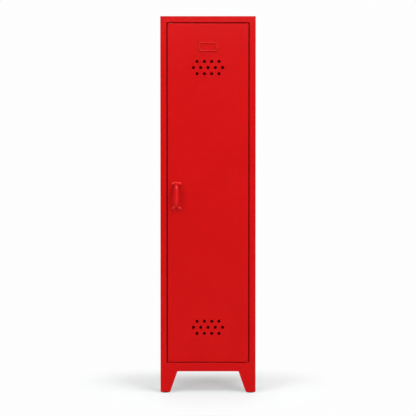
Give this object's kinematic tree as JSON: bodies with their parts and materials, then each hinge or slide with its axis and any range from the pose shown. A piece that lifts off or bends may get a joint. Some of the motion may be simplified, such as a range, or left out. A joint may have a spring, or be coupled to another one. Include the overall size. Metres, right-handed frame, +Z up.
{
  "type": "narrow locker",
  "caption": "Tall narrow steel locker on splayed legs, with one inset door on pivot pins, round vents, a card frame and a bow handle; a hat shelf and a coat rail inside.",
  "frame": {"origin": "centre of the box round the locker, at floor level", "axes": "+Z up, -Y out of the door, +X to the right as seen from the front"},
  "size_m": [0.35, 0.492, 1.384],
  "materials": {
    "red_paint": "semi-gloss red powder coat",
    "zinc_steel": "zinc plated steel",
    "black_plastic": "matt black moulded plastic",
    "nylon": "plain red nylon",
    "rubber": "black rubber"
  },
  "bodies": {
    "cabinet": {"back_panel": "red_paint", "catch_housing": "black_plastic", "catch_magnet": "zinc_steel", "coat_rail": "zinc_steel", "floor_panel": "red_paint", "front_frame": "red_paint", "front_left_foot_plate": "red_paint", "front_left_glide": "black_plastic", "front_left_post": "red_paint", "front_right_foot_plate": "red_paint", "front_right_glide": "black_plastic", "front_right_post": "red_paint", "hat_shelf": "red_paint", "head_jamb": "red_paint", "left_jamb": "red_paint", "left_rail_socket": "black_plastic", "left_shelf_bracket": "red_paint", "left_side_panel": "red_paint", "lower_catch_screw": "zinc_steel", "lower_door_buffer": "rubber", "lower_pivot_cup": "nylon", "rear_left_foot_plate": "red_paint", "rear_left_glide": "black_plastic", "rear_left_post": "red_paint", "rear_right_foot_plate": "red_paint", "rear_right_glide": "black_plastic", "rear_right_post": "red_paint", "right_jamb": "red_paint", "right_rail_socket": "black_plastic", "right_shelf_bracket": "red_paint", "right_side_panel": "red_paint", "sill_jamb": "red_paint", "top_panel": "red_paint", "upper_catch_screw": "zinc_steel", "upper_door_buffer": "rubber", "upper_pivot_bush": "nylon"},
    "door": {"card_frame": "red_paint", "door_panel": "red_paint", "door_stiffener": "red_paint", "handle": "red_paint", "left_card_frame_rivet": "red_paint", "lower_left_handle_rivet": "red_paint", "lower_pivot_pin": "red_paint", "lower_pivot_plate": "zinc_steel", "lower_right_handle_rivet": "red_paint", "right_card_frame_rivet": "red_paint", "strike_plate": "zinc_steel", "upper_left_handle_rivet": "red_paint", "upper_pivot_pin": "red_paint", "upper_pivot_plate": "zinc_steel", "upper_right_handle_rivet": "red_paint"}
  },
  "joints": [
    {"name": "door_hinge", "type": "hinge", "parent": "cabinet", "child": "door", "pos_m": [0.143, -0.208, 0], "axis": [0, 0, 1], "range_deg": [0, 110]}
  ]
}
